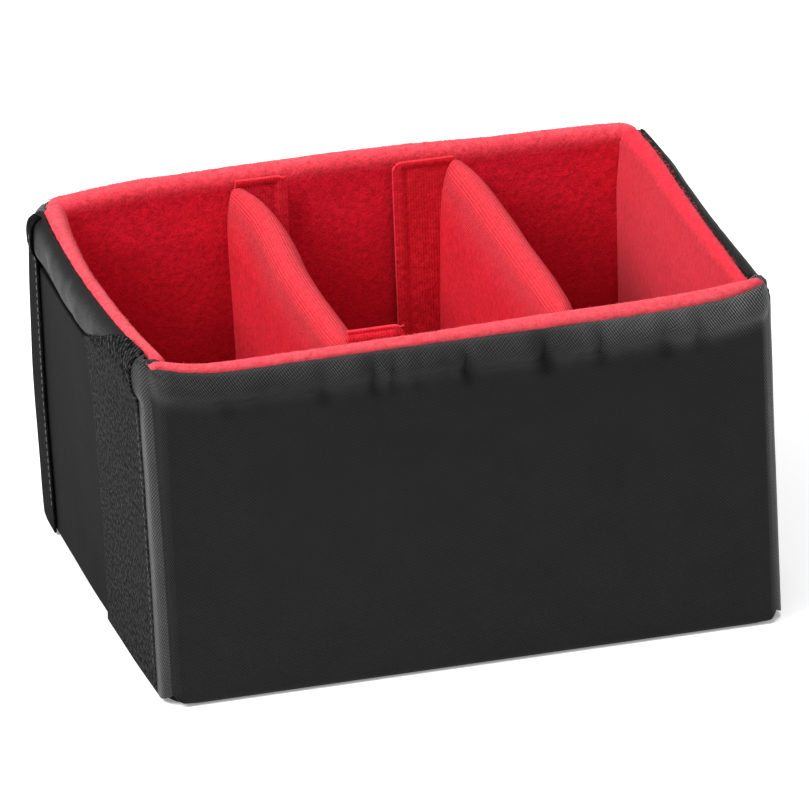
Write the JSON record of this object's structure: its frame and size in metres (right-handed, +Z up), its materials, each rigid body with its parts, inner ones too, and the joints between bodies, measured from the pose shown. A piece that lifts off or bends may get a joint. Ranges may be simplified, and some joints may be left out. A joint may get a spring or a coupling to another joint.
{
  "type": "padded case divider insert",
  "caption": "Open padded box insert for a hard case, black nylon outside and red fleece inside, with movable padded dividers and fold-down walls.",
  "frame": {"origin": "centre of the underside, on the surface that the insert stands on", "axes": "+X along the length towards the right side wall, -Y towards the front wall, +Z up through the open top"},
  "size_m": [0.2526, 0.1826, 0.1404],
  "materials": {
    "nylon": "satin",
    "loop_cloth": "matte",
    "hook_tape": "matte",
    "fleece": "matte",
    "foam": "matte"
  },
  "bodies": {
    "frame": {"base_skin": "nylon", "base_foam": "foam", "base_lining": "fleece", "left_wall_cover": "nylon", "left_wall_foam": "foam", "left_wall_lining": "fleece", "left_wall_loop_panel": "loop_cloth", "right_wall_cover": "nylon", "right_wall_foam": "foam", "right_wall_lining": "fleece", "right_wall_loop_panel": "loop_cloth"},
    "front_wall": {"front_wall_cover": "nylon", "front_wall_foam": "foam", "front_wall_lining": "fleece"},
    "back_wall": {"back_wall_cover": "nylon", "back_wall_foam": "foam", "back_wall_lining": "fleece"},
    "front_left_wrap": {"front_left_wrap_strip": "nylon", "front_left_wrap_hook_tape": "hook_tape"},
    "front_right_wrap": {"front_right_wrap_strip": "nylon", "front_right_wrap_hook_tape": "hook_tape"},
    "back_left_wrap": {"back_left_wrap_strip": "nylon", "back_left_wrap_hook_tape": "hook_tape"},
    "back_right_wrap": {"back_right_wrap_strip": "nylon", "back_right_wrap_hook_tape": "hook_tape"},
    "left_divider": {"left_divider_cover": "fleece", "left_divider_foam": "foam"},
    "left_divider_front_flap": {"left_divider_front_flap": "fleece", "left_divider_front_hook_patch": "hook_tape"},
    "left_divider_back_flap": {"left_divider_back_flap": "fleece", "left_divider_back_hook_patch": "hook_tape"},
    "right_divider": {"right_divider_cover": "fleece", "right_divider_foam": "foam"},
    "right_divider_front_flap": {"right_divider_front_flap": "fleece", "right_divider_front_hook_patch": "hook_tape"},
    "right_divider_back_flap": {"right_divider_back_flap": "fleece", "right_divider_back_hook_patch": "hook_tape"}
  },
  "joints": [
    {"name": "front_wall_fold", "type": "hinge", "parent": "frame", "child": "front_wall", "pos_m": [0, -0.0865, 0], "axis": [1, 0, 0], "range_deg": [0, 87.5]},
    {"name": "back_wall_fold", "type": "hinge", "parent": "frame", "child": "back_wall", "pos_m": [0, 0.0865, 0], "axis": [-1, 0, 0], "range_deg": [0, 87.5]},
    {"name": "front_left_wrap_peel", "type": "hinge", "parent": "front_wall", "child": "front_left_wrap", "pos_m": [-0.1233, -0.0815, 0], "axis": [0, 0, 1], "range_deg": [0, 90]},
    {"name": "front_right_wrap_peel", "type": "hinge", "parent": "front_wall", "child": "front_right_wrap", "pos_m": [0.1233, -0.0815, 0], "axis": [0, 0, -1], "range_deg": [0, 90]},
    {"name": "back_left_wrap_peel", "type": "hinge", "parent": "back_wall", "child": "back_left_wrap", "pos_m": [-0.1233, 0.0815, 0], "axis": [0, 0, -1], "range_deg": [0, 90]},
    {"name": "back_right_wrap_peel", "type": "hinge", "parent": "back_wall", "child": "back_right_wrap", "pos_m": [0.1233, 0.0815, 0], "axis": [0, 0, 1], "range_deg": [0, 90]},
    {"name": "left_divider_slide", "type": "slide", "parent": "frame", "child": "left_divider", "axis": [1, 0, 0], "range_m": [-0.036, 0.0185]},
    {"name": "left_divider_front_flap_peel", "type": "hinge", "parent": "left_divider", "child": "left_divider_front_flap", "pos_m": [-0.0356, -0.0712, 0], "axis": [0, 0, 1], "range_deg": [0, 80]},
    {"name": "left_divider_back_flap_peel", "type": "hinge", "parent": "left_divider", "child": "left_divider_back_flap", "pos_m": [-0.0356, 0.0712, 0], "axis": [0, 0, -1], "range_deg": [0, 80]},
    {"name": "right_divider_slide", "type": "slide", "parent": "frame", "child": "right_divider", "axis": [1, 0, 0], "range_m": [-0.008, 0.0348]},
    {"name": "right_divider_front_flap_peel", "type": "hinge", "parent": "right_divider", "child": "right_divider_front_flap", "pos_m": [0.0369, -0.0712, 0], "axis": [0, 0, -1], "range_deg": [0, 80]},
    {"name": "right_divider_back_flap_peel", "type": "hinge", "parent": "right_divider", "child": "right_divider_back_flap", "pos_m": [0.0369, 0.0712, 0], "axis": [0, 0, 1], "range_deg": [0, 80]}
  ]
}
